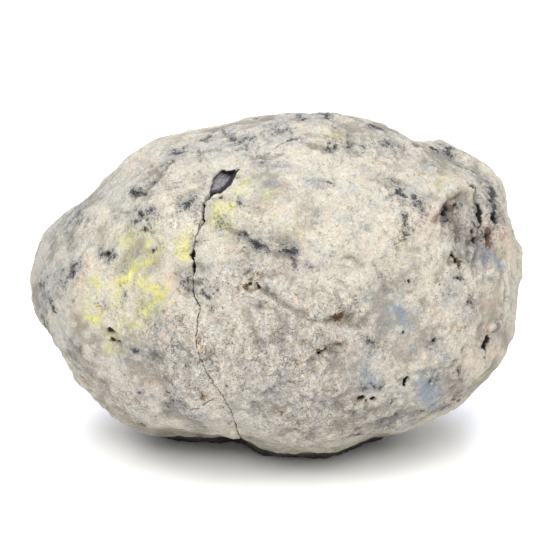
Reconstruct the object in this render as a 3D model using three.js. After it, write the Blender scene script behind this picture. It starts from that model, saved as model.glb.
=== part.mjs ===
// A calcite geode as it is found: whole, uncut and closed, one stone with a pale crumbly rind.
// Units are millimetres and +Z is up. The stone's long way is X and its front faces -Y. The origin
// is on the ground under the middle of the stone, which rests on a small flat spot of its underside.
//
// The stone is one closed surface around its own middle. Broad worn faces make its body, then
// swells, ledges, pits, cracks and a fine lumpiness move each point of the surface in or out.

import * as THREE from "three";

// ---------------------------------------------------------------------------------------------
// Driving dimensions
// ---------------------------------------------------------------------------------------------

const GIRDLE_LEAN = 20; // degrees: the stone's widest outline leans back by this from upright
const BODY_ROUNDING = 13; // how crisp the edges between the worn faces are, from 6 soft to 30 sharp
const BODY_FULLNESS = 1.045; // makes up for what the rounding takes off
const REST_HEIGHT = 30.0; // from the stone's middle down to the ground

const COARSE_EDGE = 3.7; // longest triangle edge on plain stone
const EDGE_GROWTH = 1.2; // how much longer an edge may be for each millimetre from a fine place
const PIT_EDGE = 1.1; // longest triangle edge in a pit
const LEDGE_MESH_EDGE = 1.5; // longest triangle edge on a ledge
const CRACK_EDGE = 0.7; // longest triangle edge along the great crack

const STONE_COLOUR = 0xd3cabb;
const STONE_ROUGHNESS = 0.95;

// ---------------------------------------------------------------------------------------------
// Directions: the girdle is the widest outline. A place on the stone is given by how far it is
// to the right and how far up along the leaning girdle plane, and whether it is in front of it.
// ---------------------------------------------------------------------------------------------

const lean = THREE.MathUtils.degToRad(GIRDLE_LEAN);
const RIGHT = new THREE.Vector3(1, 0, 0);
const UP = new THREE.Vector3(0, Math.sin(lean), Math.cos(lean));
const FORWARD = new THREE.Vector3(0, -Math.cos(lean), Math.sin(lean));

function girdlePoint(right, up, forward) {
  return new THREE.Vector3()
    .addScaledVector(RIGHT, right)
    .addScaledVector(UP, up)
    .addScaledVector(FORWARD, forward);
}

// A unit vector from its turn round the girdle, 0 to the right and 90 up, and its tilt forward.
function heading(turn, tilt) {
  const t = THREE.MathUtils.degToRad(turn);
  const f = THREE.MathUtils.degToRad(tilt);
  return girdlePoint(Math.cos(t) * Math.cos(f), Math.sin(t) * Math.cos(f), Math.sin(f));
}

// ---------------------------------------------------------------------------------------------
// The body: broad worn faces, each with its turn, its tilt and how far it lies from the middle
// ---------------------------------------------------------------------------------------------

const WORN_FACES = [
  // round the girdle
  [4, 4, 44.0],
  [62, 0, 37.0],
  [90, -4, 30.2],
  [113, 0, 31.0],
  [134, 3, 38.2],
  [160, -4, 45.0],
  [184, -8, 46.0],
  [212, 0, 41.2],
  [239, 4, 34.0],
  [268, 0, 29.1],
  [297, 3, 31.6],
  [333, 0, 44.3],
  // in front
  [12, 36, 40.0],
  [62, 34, 34.2],
  [104, 36, 31.6],
  [146, 34, 36.8],
  [186, 34, 40.5],
  [228, 34, 35.6],
  [272, 36, 31.2],
  [316, 34, 37.2],
  [40, 66, 33.6],
  [150, 64, 33.0],
  [220, 66, 32.8],
  [325, 64, 34.0],
  [90, 86, 32.6],
  // behind
  [22, -34, 39.0],
  [72, -32, 32.0],
  [124, -36, 33.4],
  [172, -34, 41.2],
  [216, -32, 37.8],
  [262, -40, 31.8],
  [306, -34, 34.8],
  [350, -38, 38.8],
  [55, -64, 32.6],
  [140, -66, 31.0],
  [232, -62, 32.4],
  [318, -66, 31.8],
  [190, -86, 31.2],
].map(([turn, tilt, reach]) => ({ normal: heading(turn, tilt), reach: reach * BODY_FULLNESS }));

function bodyReach(direction) {
  let sum = 0;
  for (const face of WORN_FACES) {
    const share = face.normal.dot(direction) / face.reach;
    if (share > 0) sum += share ** BODY_ROUNDING;
  }
  return sum ** (-1 / BODY_ROUNDING);
}

// ---------------------------------------------------------------------------------------------
// A smooth repeatable lumpiness: cubic lattice noise, from -1 to 1
// ---------------------------------------------------------------------------------------------

function latticeValue(i, j, k, seed) {
  let h = Math.imul(i, 374761393) ^ Math.imul(j, 668265263) ^ Math.imul(k, 2147483647 ^ seed);
  h = Math.imul(h ^ (h >>> 13), 1274126177);
  h = Math.imul(h ^ (h >>> 15), 2246822519);
  return ((h ^ (h >>> 16)) >>> 0) / 2147483648 - 1;
}

function smoothNoise(point, size, seed) {
  const x = point.x / size;
  const y = point.y / size;
  const z = point.z / size;
  const [i, j, k] = [Math.floor(x), Math.floor(y), Math.floor(z)];
  const ease = (t) => t * t * t * (t * (t * 6 - 15) + 10);
  const [fx, fy, fz] = [ease(x - i), ease(y - j), ease(z - k)];
  const mix = (a, b, t) => a + (b - a) * t;
  const row = (dj, dk) =>
    mix(latticeValue(i, j + dj, k + dk, seed), latticeValue(i + 1, j + dj, k + dk, seed), fx);
  return mix(mix(row(0, 0), row(1, 0), fy), mix(row(0, 1), row(1, 1), fy), fz);
}

const LUMPINESS = [
  { size: 17, height: 0.9, seed: 11 },
  { size: 8.5, height: 0.5, seed: 23 },
  { size: 4.6, height: 0.26, seed: 37 },
];

function lumpiness(point) {
  return LUMPINESS.reduce((sum, l) => sum + l.height * smoothNoise(point, l.size, l.seed), 0);
}

// ---------------------------------------------------------------------------------------------
// Places: a feature lies on the body at so far right and so far up, on the front (1) or the back
// (-1), or on the rim of the girdle (0) in that direction
// ---------------------------------------------------------------------------------------------

const PLACE_STEPS = 30;
const BODY_LIMIT = 60; // no part of the body lies further than this from its middle

function placeOnBody([right, up, side]) {
  let near = 0;
  let far = side * BODY_LIMIT;
  for (let step = 0; side !== 0 && step < PLACE_STEPS; step++) {
    const middle = (near + far) / 2;
    const point = girdlePoint(right, up, middle);
    const inside = point.length() < bodyReach(point.clone().normalize());
    if (inside) near = middle;
    else far = middle;
  }
  const direction = girdlePoint(right, up, near).normalize();
  return direction.multiplyScalar(bodyReach(direction));
}

// ---------------------------------------------------------------------------------------------
// Swells and hollows: [right, up, side, spread, height]
// ---------------------------------------------------------------------------------------------

const SWELLS = [
  // round the rim
  [-22, 25, 0, 9, 2.0], // the shoulder on the left
  [-44, 9, 0, 9, 0.9], // the blunt left end
  [-40, -14, 0, 5, -2.2], // the nick below the left end
  [-8.5, -29, 0, 8, -4.6], // the hollow underneath, where the great crack runs out
  [25, 26, 0, 4, -1.2], // the nick in the brow on the right
  [37, 25, 0, 6.5, 2.2], // the right brow
  [45, 5.3, 0, 4.2, 1.7], // the knob on the right end
  [43, -9, 0, 8, -1.2],
  [20, 28, 0, 6, -0.9],
  // in front
  [12, -13, 1, 13, 0.9], // the belly
  [-27, 2, 1, 11, 0.8], // the cheek on the left
  [24, -3, 1, 8, -0.7],
  [34, 6, 1, 7, -0.9], // the broken right cheek
  [-14, -14, 1, 8, 0.5],
  [-2, 15, 1, 9, 0.5],
  // behind
  [-20, 10, -1, 11, 1.3],
  [8, 16, -1, 9, -1.4],
  [26, 4, -1, 10, 1.4],
  [2, -8, -1, 12, 1.0],
  [-32, -6, -1, 8, -1.2],
  [18, -20, -1, 9, -0.9],
].map(([right, up, side, spread, height]) => ({
  centre: placeOnBody([right, up, side]),
  spread,
  height,
}));

function swelling(point) {
  return SWELLS.reduce((sum, swell) => {
    const far = point.distanceTo(swell.centre) / swell.spread;
    return far > 3 ? sum : sum + swell.height * Math.exp(-far * far);
  }, 0);
}

// ---------------------------------------------------------------------------------------------
// Lines on the surface: a route of places, and the nearest point of it to a point
// ---------------------------------------------------------------------------------------------

function nearestOnRoute(point, route) {
  let best = { distance: Infinity };
  for (let n = 0; n + 1 < route.length; n++) {
    const along = route[n + 1].clone().sub(route[n]);
    const offset = point.clone().sub(route[n]);
    const share = THREE.MathUtils.clamp(offset.dot(along) / along.lengthSq(), 0, 1);
    offset.addScaledVector(along, -share);
    const distance = offset.length();
    if (distance < best.distance) best = { distance, offset, along, step: n + share };
  }
  return best;
}

const LEDGE_EDGE = 0.8; // half the width of a ledge's riser

// Ledges: along its route the surface drops on the route's right-hand side, as seen from outside
// when walking along it, and comes back over the fade. A route's places are [right, up].
const LEDGES = [
  // the dark lip below the middle of the front
  ledgeAlong(1.0, 3.2, 1, [[-9.5, 10.6], [-4.4, 8.2], [-0.5, 6.6], [3, 5.9], [5, 3]]),
  // the broken edge of the right cheek, and the crack beside it
  ledgeAlong(1.5, 4.5, 1, [[28.6, 7], [28.4, 11.5], [30.4, 14.6], [33.2, 17], [38, 19]]),
  ledgeAlong(0.9, 3, 1, [[35.2, 4], [35.6, 10], [34.9, 14.8], [34.2, 18]]),
  // two brown furrows on the belly
  ledgeAlong(0.6, 2, 1, [[6.5, -3], [9.7, -4.2], [13, -3.4]]),
  ledgeAlong(0.7, 2.2, 1, [[4, -12], [7, -10.4], [10.5, -9.4], [14, -9.2]]),
  // the step along the lower left
  ledgeAlong(1.3, 5, 1, [[-40, -9], [-35, -14], [-28, -20], [-21, -25]]),
  // behind
  ledgeAlong(1.4, 5, -1, [[26, 14], [16, 9], [9, 10], [0, 6]]),
  ledgeAlong(1.2, 4, -1, [[-10, 20], [-14, 12], [-20, 8], [-24, 0], [-32, -3]]),
  ledgeAlong(1.0, 4, -1, [[-6, -12], [4, -16], [14, -14], [22, -9]]),
];
function ledgeAlong(drop, fade, side, places) {
  return { drop, fade, route: places.map(([right, up]) => placeOnBody([right, up, side])) };
}

function ledgeDrop(point, outward) {
  return LEDGES.reduce((sum, ledge) => {
    const near = nearestOnRoute(point, ledge.route);
    if (near.distance > 3 * ledge.fade) return sum;
    const rightHand = near.along.clone().cross(outward).normalize();
    const aside = near.offset.dot(rightHand);
    const riser = THREE.MathUtils.smoothstep(aside, -LEDGE_EDGE, LEDGE_EDGE);
    const ends = Math.sin((Math.PI * (near.step + 0.25)) / (ledge.route.length - 0.5));
    return sum + ledge.drop * ends * riser * Math.exp(-((near.distance / ledge.fade) ** 2));
  }, 0);
}

// ---------------------------------------------------------------------------------------------
// The great crack: a gaping hole near the top that narrows to a hairline and runs to the
// underside. Each stop is [right, up, side, half width, depth].
// ---------------------------------------------------------------------------------------------

const CRACK_STOPS = [
  [-6.7, 20.4, 1, 0.5, 0.8],
  [-8.3, 19.2, 1, 1.3, 2.6],
  [-9.9, 18.0, 1, 2.1, 3.4],
  [-11.2, 16.2, 1, 1.5, 3.0],
  [-12.4, 14.8, 1, 0.8, 2.0],
  [-12.8, 12.4, 1, 0.8, 1.8],
  [-13.4, 10.6, 1, 0.6, 1.2],
  [-14.1, 8.6, 1, 0.5, 0.8],
  [-14.4, 5.9, 1, 0.8, 1.6],
  [-14.2, 3.3, 1, 0.6, 1.3],
  [-14.2, -0.8, 1, 0.5, 0.7],
  [-13.4, -2.3, 1, 0.5, 0.7],
  [-13.7, -8.2, 1, 0.5, 0.7],
  [-13.2, -11.2, 1, 0.5, 0.7],
  [-10.1, -16.8, 1, 0.5, 0.7],
  [-8.0, -21.8, 1, 0.5, 0.7],
  [-6.7, -25.8, 1, 0.5, 0.7],
  [-6.0, -28.5, 0, 0.5, 0.5],
];
const CRACK_ROUTE = CRACK_STOPS.map(placeOnBody);

// How wide and deep the crack is at a step along its route
function crackAt(step) {
  const first = Math.min(Math.floor(step), CRACK_STOPS.length - 2);
  const share = step - first;
  const between = (column) =>
    THREE.MathUtils.lerp(CRACK_STOPS[first][column], CRACK_STOPS[first + 1][column], share);
  return { halfWidth: between(3), depth: between(4) };
}

function crackDepth(point) {
  const near = nearestOnRoute(point, CRACK_ROUTE);
  const { halfWidth, depth } = crackAt(near.step);
  return depth * (1 - THREE.MathUtils.smoothstep(near.distance, 0.35 * halfWidth, halfWidth));
}

// ---------------------------------------------------------------------------------------------
// Pits: those that have a place of their own, and those sown over the whole stone
// ---------------------------------------------------------------------------------------------

// [right, up, side, radius, depth]
const PLACED_PITS = [
  [-28.3, -7.6, 1, 1.2, 1.3], // two holes in the left cheek
  [-27.5, -9.6, 1, 0.9, 0.9],
  [-29.8, 5.6, 1, 1.2, 0.7],
  [-36.4, 2.4, 1, 1.2, 0.8],
  [-23.2, 12.4, 1, 1.6, 0.7],
  [-16.2, 15.4, 1, 1.4, 0.6],
  [-4.1, 0.8, 1, 1.2, 0.7],
  [22.1, -15.7, 1, 1.1, 0.9], // the row of holes low on the right
  [14.6, -18.3, 1, 1.1, 1.0],
  [16.6, -18.5, 1, 0.9, 0.9],
  [24.6, -21.2, 1, 1.0, 0.6],
  [12.0, -26.0, 1, 1.0, 0.6],
  [36.2, -8.4, 1, 1.0, 1.7],
  [36.0, -10.2, 1, 0.8, 1.2],
  [29.8, 13.0, 1, 1.6, 1.4], // in the shelter of the broken edge
  [34.4, 17.0, 1, 1.1, 1.2],
  [38.2, 12.8, 1, 1.5, 1.2],
  [30.8, 5.2, 1, 1.4, 0.9],
  [35.8, 9.2, 1, 1.2, 1.0],
  [-24.0, -24.4, 1, 1.0, 0.7],
  [6.2, -10.7, 1, 1.0, 0.8],
];

const SOWN_PITS = 44;
const SOWN_RADIUS = [0.8, 1.7]; // least and most
const PIT_DEPTH_SHARE = 0.5; // a sown pit's depth over its radius

// Repeatable numbers from 0 to 1
function makeRandom(seed) {
  let state = seed;
  return () => {
    state = (state + 0x6d2b79f5) | 0;
    let t = Math.imul(state ^ (state >>> 15), 1 | state);
    t = (t + Math.imul(t ^ (t >>> 7), 61 | t)) ^ t;
    return ((t ^ (t >>> 14)) >>> 0) / 4294967296;
  };
}

function sownPits() {
  const random = makeRandom(5);
  return Array.from({ length: SOWN_PITS }, () => {
    const height = 2 * random() - 1;
    const turn = 2 * Math.PI * random();
    const ring = Math.sqrt(1 - height * height);
    const direction = new THREE.Vector3(ring * Math.cos(turn), ring * Math.sin(turn), height);
    const radius = THREE.MathUtils.lerp(...SOWN_RADIUS, random() ** 2);
    const centre = direction.clone().multiplyScalar(bodyReach(direction));
    return { centre, radius, depth: radius * PIT_DEPTH_SHARE };
  });
}

const PITS = PLACED_PITS.map(([right, up, side, radius, depth]) => ({
  centre: placeOnBody([right, up, side]),
  radius,
  depth,
})).concat(sownPits());

function pitDepth(point) {
  return PITS.reduce((deepest, pit) => {
    const far = point.distanceTo(pit.centre) / pit.radius;
    return far < 1 ? Math.max(deepest, pit.depth * (1 - far * far) ** 1.5) : deepest;
  }, 0);
}

// ---------------------------------------------------------------------------------------------
// The shape: how far the surface lies from the middle in a direction
// ---------------------------------------------------------------------------------------------

function surfacePoint(direction) {
  const onBody = direction.clone().multiplyScalar(bodyReach(direction));
  const height =
    swelling(onBody) +
    lumpiness(onBody) -
    ledgeDrop(onBody, direction) -
    crackDepth(onBody) -
    pitDepth(onBody);
  return onBody.addScaledVector(direction, height);
}

// ---------------------------------------------------------------------------------------------
// The mesh: an icosahedron whose edges are halved until each is as short as its place asks
// ---------------------------------------------------------------------------------------------

// An edge may be longer the further it is from the fine places
function edgeLimit(point) {
  const crack = nearestOnRoute(point, CRACK_ROUTE);
  const aroundCrack = crack.distance - crackAt(crack.step).halfWidth;
  let limit = Math.min(COARSE_EDGE, CRACK_EDGE + EDGE_GROWTH * Math.max(0, aroundCrack));
  for (const pit of PITS) {
    const aroundPit = point.distanceTo(pit.centre) - pit.radius;
    limit = Math.min(limit, PIT_EDGE + EDGE_GROWTH * Math.max(0, aroundPit));
  }
  for (const ledge of LEDGES) {
    const aroundLedge = nearestOnRoute(point, ledge.route).distance - LEDGE_EDGE;
    limit = Math.min(limit, LEDGE_MESH_EDGE + EDGE_GROWTH * Math.max(0, aroundLedge));
  }
  return limit;
}

const MOST_ROUNDS = 12;

function refinedStone() {
  const start = new THREE.IcosahedronGeometry(1, 0);
  const corner = start.getAttribute("position");
  const directions = [];
  const onBody = []; // the same points before they move in or out: edges are measured here
  const known = new Map();

  const addDirection = (direction) => {
    directions.push(direction);
    onBody.push(direction.clone().multiplyScalar(bodyReach(direction)));
    return directions.length - 1;
  };

  let faces = [];
  for (let i = 0; i < corner.count; i += 3) {
    faces.push(
      [i, i + 1, i + 2].map((n) => {
        const direction = new THREE.Vector3().fromBufferAttribute(corner, n).normalize();
        const key = direction.toArray().map((value) => value.toFixed(4)).join();
        if (!known.has(key)) known.set(key, addDirection(direction));
        return known.get(key);
      }),
    );
  }

  for (let round = 0, changed = true; changed && round < MOST_ROUNDS; round++) {
    changed = false;
    const halves = new Map();
    const halfOf = (a, b) => {
      const key = a < b ? `${a}_${b}` : `${b}_${a}`;
      if (!halves.has(key)) {
        const middle = onBody[a].clone().add(onBody[b]).multiplyScalar(0.5);
        const long = onBody[a].distanceTo(onBody[b]) > edgeLimit(middle);
        const direction = directions[a].clone().add(directions[b]).normalize();
        halves.set(key, long ? addDirection(direction) : -1);
      }
      return halves.get(key);
    };
    const next = [];
    for (const [a, b, c] of faces) {
      const ab = halfOf(a, b);
      const bc = halfOf(b, c);
      const ca = halfOf(c, a);
      const cut = splitFace(a, b, c, ab, bc, ca, onBody);
      if (cut.length > 1) changed = true;
      next.push(...cut);
    }
    faces = next;
  }
  return { points: directions.map(surfacePoint), faces };
}

// One face as 1, 2, 3 or 4 faces, for the edges that have a new point. A missing point is -1.
function splitFace(a, b, c, ab, bc, ca, points) {
  const count = (ab >= 0) + (bc >= 0) + (ca >= 0);
  if (count === 0) return [[a, b, c]];
  if (count === 3) {
    return [
      [a, ab, ca],
      [ab, b, bc],
      [ca, bc, c],
      [ab, bc, ca],
    ];
  }
  if (count === 1) {
    if (bc >= 0) return splitFace(b, c, a, bc, ca, ab, points);
    if (ca >= 0) return splitFace(c, a, b, ca, ab, bc, points);
    return [
      [a, ab, c],
      [ab, b, c],
    ];
  }
  if (ab < 0) return splitFace(b, c, a, bc, ca, ab, points);
  if (bc < 0) return splitFace(c, a, b, ca, ab, bc, points);
  const quad =
    points[a].distanceTo(points[bc]) < points[ab].distanceTo(points[c])
      ? [
          [a, ab, bc],
          [a, bc, c],
        ]
      : [
          [a, ab, c],
          [ab, bc, c],
        ];
  return [[ab, b, bc], ...quad];
}

// ---------------------------------------------------------------------------------------------
// The stone, set on the ground
// ---------------------------------------------------------------------------------------------

function stoneGeometry() {
  const { points, faces } = refinedStone();
  for (const point of points) point.z = Math.max(point.z + REST_HEIGHT, 0);
  const box = new THREE.Box3().setFromPoints(points);
  const middle = box.getCenter(new THREE.Vector3());
  const geometry = new THREE.BufferGeometry()
    .setFromPoints(points)
    .translate(-middle.x, -middle.y, 0);
  geometry.setIndex(faces.flat());
  geometry.computeVertexNormals();
  return geometry;
}

const geode = new THREE.Mesh(
  stoneGeometry(),
  new THREE.MeshStandardMaterial({
    color: STONE_COLOUR,
    roughness: STONE_ROUGHNESS,
    metalness: 0,
    flatShading: true,
  }),
);
geode.name = "geode";

const part = new THREE.Group();
part.add(geode);

export default part;
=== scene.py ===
"""The looks of a whole calcite geode: a closed stone with a pale, crumbly rind, a long crack, pits,
ledges, grey and yellow stains. One mesh, grown from the CAD solid, stands for the CAD node.

Places on the stone are in millimetres about the stone's own middle. The girdle is its widest
outline, which leans back from upright: [right, up] is a place on the front, as seen straight at
the girdle. The mesh is made in the same millimetres and turned into metres at the end.
"""
import itertools
import math

import bpy
import numpy as np
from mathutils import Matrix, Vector
from mathutils.bvhtree import BVHTree


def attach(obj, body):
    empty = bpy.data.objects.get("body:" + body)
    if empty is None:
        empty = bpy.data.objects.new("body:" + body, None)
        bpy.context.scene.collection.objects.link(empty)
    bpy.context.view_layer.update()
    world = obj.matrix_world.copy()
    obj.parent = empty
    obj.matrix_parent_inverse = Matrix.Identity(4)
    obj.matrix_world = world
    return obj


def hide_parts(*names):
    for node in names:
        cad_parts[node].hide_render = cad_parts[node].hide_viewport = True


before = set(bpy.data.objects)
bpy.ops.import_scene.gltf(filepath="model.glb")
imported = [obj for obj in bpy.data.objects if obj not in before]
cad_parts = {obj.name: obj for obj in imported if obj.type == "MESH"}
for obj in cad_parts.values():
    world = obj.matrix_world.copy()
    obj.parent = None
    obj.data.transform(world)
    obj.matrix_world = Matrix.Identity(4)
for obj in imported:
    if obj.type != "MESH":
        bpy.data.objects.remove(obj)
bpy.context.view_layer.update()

MM = 0.001
GIRDLE_LEAN = math.radians(20)
RIGHT = np.array([1.0, 0.0, 0.0])
UP = np.array([0.0, math.sin(GIRDLE_LEAN), math.cos(GIRDLE_LEAN)])
FORWARD = np.array([0.0, -math.cos(GIRDLE_LEAN), math.sin(GIRDLE_LEAN)])
MIDDLE = np.array([0.0, 1.4, 30.0])  # the stone's own middle, in the frame
GROUND = -MIDDLE[2]  # the ground's height about that middle
OUTSIDE = 80.0  # a distance from the middle that is clear of the stone

# ---- How fine the mesh is: longest edges in millimetres ----

FRONT_EDGE = 0.68
BACK_EDGE = 0.98
CRACK_EDGE = 0.13
PIT_EDGE = 0.26
MOUTH_EDGE = 0.15
EDGE_GROWTH = 0.7  # how much longer an edge may be for each millimetre from a fine place
MOST_ROUNDS = 9

# ---- Swells and dips of the outline: [right, up, radius, height] ----

SWELLS = [
    # the knob at the upper right, and the dip beyond it
    [31, 28, 3.5, 1.1], [32.5, 24, 3, -1.2], [36.5, 22.5, 5, -1.3],
    # the right end
    [42, 19, 4.5, 0.9], [42.5, 13, 3, -0.8], [45.5, 2, 5, -0.8], [45, -6.5, 5, -0.8],
    # the top
    [17.5, 31.5, 6, -0.7], [-20.5, 26, 6, 0.5],
    # the left end
    [-36, 19, 7, -0.8], [-44.5, 2, 8, -0.5], [-42.5, -9, 6, -0.9],
    # low in front, where the foot of the great crack is drawn in
    [-28, -25.5, 6, 0.9], [-9.5, -26.8, 5, -0.8], [15, -28.5, 7, -1], [31.5, -22.5, 6, 0.8],
]

# Where the stone meets the ground in front, as a line of [right, back], and how it is drawn in there
CONTACT = [[-26, 8], [-20, 0], [-7.5, -1], [-4, -5], [-1, -7.4], [10, -7.4], [16, -2], [24, 5]]
CLIMB = 0.62  # how high the front is for each millimetre ahead of that line
MOST_RISE = 1.9
MOST_SINK = 2.0
RISE_STARTS = (-6, 2)  # the rise comes in between these distances ahead of the line
SINK_REACH = (7, 2)  # the sink fades between these distances from the line
SINK_HEIGHTS = (6, 3)  # and between these heights above the ground
LEFT_FADE = (-23, -18)  # at the line's ends both fade out, between these places
RIGHT_FADE = (23, 17)

# ---- Cracks: stops of [right, up, half width, depth] ----

CRACKS = {
    "neck": [
        [-10.6, 16.9, 0.5, 1.7], [-11.7, 15.8, 0.4, 1.7], [-12.4, 14.8, 0.27, 1.6],
        [-12.6, 13.6, 0.27, 1.5], [-12.6, 12.7, 0.25, 1.3], [-12.5, 12, 0.2, 1], [-12.9, 11.2, 0.12, 0.6],
        [-13.2, 10.2, 0.1, 0.5], [-13.8, 9.3, 0.08, 0.4], [-14.1, 7.2, 0.09, 0.4], [-14.3, 6.2, 0.55, 1.5],
        [-14.1, 5.3, 0.12, 0.6], [-14, 4.6, 0.34, 1.4], [-14, 3.6, 0.3, 1.4], [-14.1, 2.9, 0.08, 0.5],
        [-14.2, 1, 0.09, 0.5], [-14, -0.8, 0.12, 0.5], [-13, -2.8, 0.11, 0.4], [-13.4, -5.4, 0.1, 0.4],
        [-13.6, -9.2, 0.1, 0.4], [-12.7, -12.2, 0.1, 0.4], [-10.6, -15.7, 0.1, 0.3],
    ],
    "foot of the great crack": [
        [-10.6, -15.7, 0.1, 0.3], [-9.9, -16.9, 0.1, 0.3], [-9, -18.4, 0.1, 0.4], [-7.6, -21.5, 0.12, 0.5],
        [-7.3, -22.8, 0.11, 0.5], [-6.5, -25.9, 0.11, 0.5], [-6.3, -27.8, 0.1, 0.4],
    ],
    "beside the neck": [[-12.7, 12.3, 0.07, 0.3], [-13.2, 11.3, 0.12, 0.5], [-13.5, 10.2, 0.07, 0.3]],
    "corner of the mouth": [[-8.2, 19.7, 0.2, 1], [-7, 20.5, 0.2, 1], [-6, 21.2, 0.07, 0.3]],
    "left branch": [[-10.6, -18, 0.1, 0.3], [-13.3, -19.8, 0.11, 0.3], [-15.8, -20.2, 0.08, 0.2]],
    "top": [[-1.8, 23.4, 0.08, 0.3], [0, 24.7, 0.1, 0.5], [2, 26, 0.18, 0.7], [3.1, 26.3, 0.1, 0.4]],
    "brow": [[25.6, 24.9, 0.12, 0.5], [26.6, 24.4, 0.18, 0.7], [27.5, 23.3, 0.2, 0.7]],
    "right cheek": [
        [34.6, 17.9, 0.12, 0.6], [35.2, 16.4, 0.12, 0.6], [35.8, 15.2, 0.3, 0.6], [36, 14, 0.65, 0.7],
        [36, 12.9, 0.5, 0.6], [36.2, 12, 0.1, 0.5], [34.7, 10.2, 0.22, 0.9], [34.6, 7.1, 0.12, 0.7],
        [34.4, 4.4, 0.14, 0.8], [34, 1.9, 0.08, 0.4],
    ],
    "right end": [
        [36.9, -7.6, 0.1, 0.5], [37, -8.4, 0.8, 0.9], [36.4, -9.6, 0.9, 0.9], [36.7, -10.6, 0.1, 0.6],
        [36.5, -12.2, 0.12, 0.6], [36.7, -14.6, 0.08, 0.4],
    ],
    "left end": [[-39.8, -3.1, 0.1, 0.4], [-39.2, -3.7, 0.18, 0.6], [-38.6, -4.3, 0.1, 0.4]],
    "furrow": [[6.6, -10.7, 0.1, 0.4], [7, -10.4, 0.36, 1.1], [7.6, -10.2, 0.3, 0.9], [8.6, -9.9, 0.08, 0.3]],
    "crescent": [[21.9, -16.3, 0.28, 0.9], [21.9, -15.6, 0.26, 0.9], [22.4, -14.9, 0.14, 0.5]],
}

# The gaping mouth at the top of the great crack, as an outline of [right, up]
MOUTH = [
    [-11, 20.3], [-9.6, 20.9], [-8.6, 20.4], [-6.4, 20.7], [-7.3, 19.6], [-7.5, 18.6], [-8.6, 17.3],
    [-9.9, 16.5], [-11.3, 16], [-11.8, 17.6], [-11.3, 18.9],
]
MOUTH_DEPTH = 1.7
INTO_MOUTH = -FORWARD - 0.14 * RIGHT + 0.06 * UP  # the way in leans up to the left
MOUTH_WALL = 0.5  # how far the wall leans in
MOUTH_SLOPE = 0.9  # how much further it leans in on the left
# the rim's darkness is painted shade
SHADE_LEAN = np.array([1.0, -0.5])  # the rim is dark on the side that this points to
SHADED_RIM = (-20.3, -19)  # and fades in between these distances that way

# ---- Pits: [right, up, radius, depth] ----

PITS = [
    # the left cheek, with its dark holes
    [-28.6, -7, 0.95, 1.2], [-28.3, -8.3, 0.55, 1], [-27.4, -8.9, 0.6, 0.5], [-29.5, 6.4, 0.8, 0.6],
    # low on the right, with a pair of holes first
    [14.5, -18.5, 0.55, 1], [16.5, -18.5, 0.55, 1], [15.4, -18.9, 0.4, 0.5], [17.3, -22.9, 0.9, 0.5],
    [18.2, -11.5, 0.7, 0.25], [20.9, -21.9, 0.5, 0.8], [25.5, -21.2, 0.5, 0.8], [27.9, -21.6, 0.6, 0.7],
    # in the shelter of the broken edge
    [29.1, 13.2, 0.6, 1.2], [29.9, 14, 0.6, 0.8], [31.2, 14.9, 0.6, 0.5],
    # the right cheek
    [34, 18.8, 0.75, 0.65], [34.6, 18.4, 0.75, 0.65], [35.1, 17.9, 0.75, 0.65], [38.1, 15.6, 0.7, 0.8],
    [38.1, 13.1, 0.7, 1.1], [38.9, 12.8, 0.7, 1.1], [37.3, 9.6, 0.8, 0.9], [35.2, 13.8, 0.6, 0.9],
    [34.2, 10.4, 0.6, 0.7], [30.3, 6, 0.45, 0.8], [31, 5.3, 0.5, 0.9], [31.5, 4.3, 0.35, 0.7],
    [31.3, 2.2, 0.4, 0.5], [33.4, -1.7, 0.9, 0.35],
    # the middle
    [22.6, 1.7, 0.4, 0.5], [-4.4, 1.2, 0.45, 0.8], [-3.4, 0.9, 0.4, 0.6], [27, -8.6, 0.4, 0.4],
    [21.7, -7.1, 0.35, 0.4],
    # low on the left, and two alone
    [-24.8, -24.2, 0.8, 0.9], [-24, -24.3, 0.7, 0.9], [-18.5, -24.9, 0.6, 0.6], [-35.9, 3.5, 0.7, 0.5],
    [13.4, -25.6, 0.4, 0.5],
]

SOWN_PITS = 240
SOWN_RADIUS = (0.35, 0.95)
SOWN_DEPTH_SHARE = 0.6  # a sown pit's depth over its radius

# ---- Folds of the rind: (half width, depth, [right, up], ...), a valley under a raised lip ----

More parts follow.
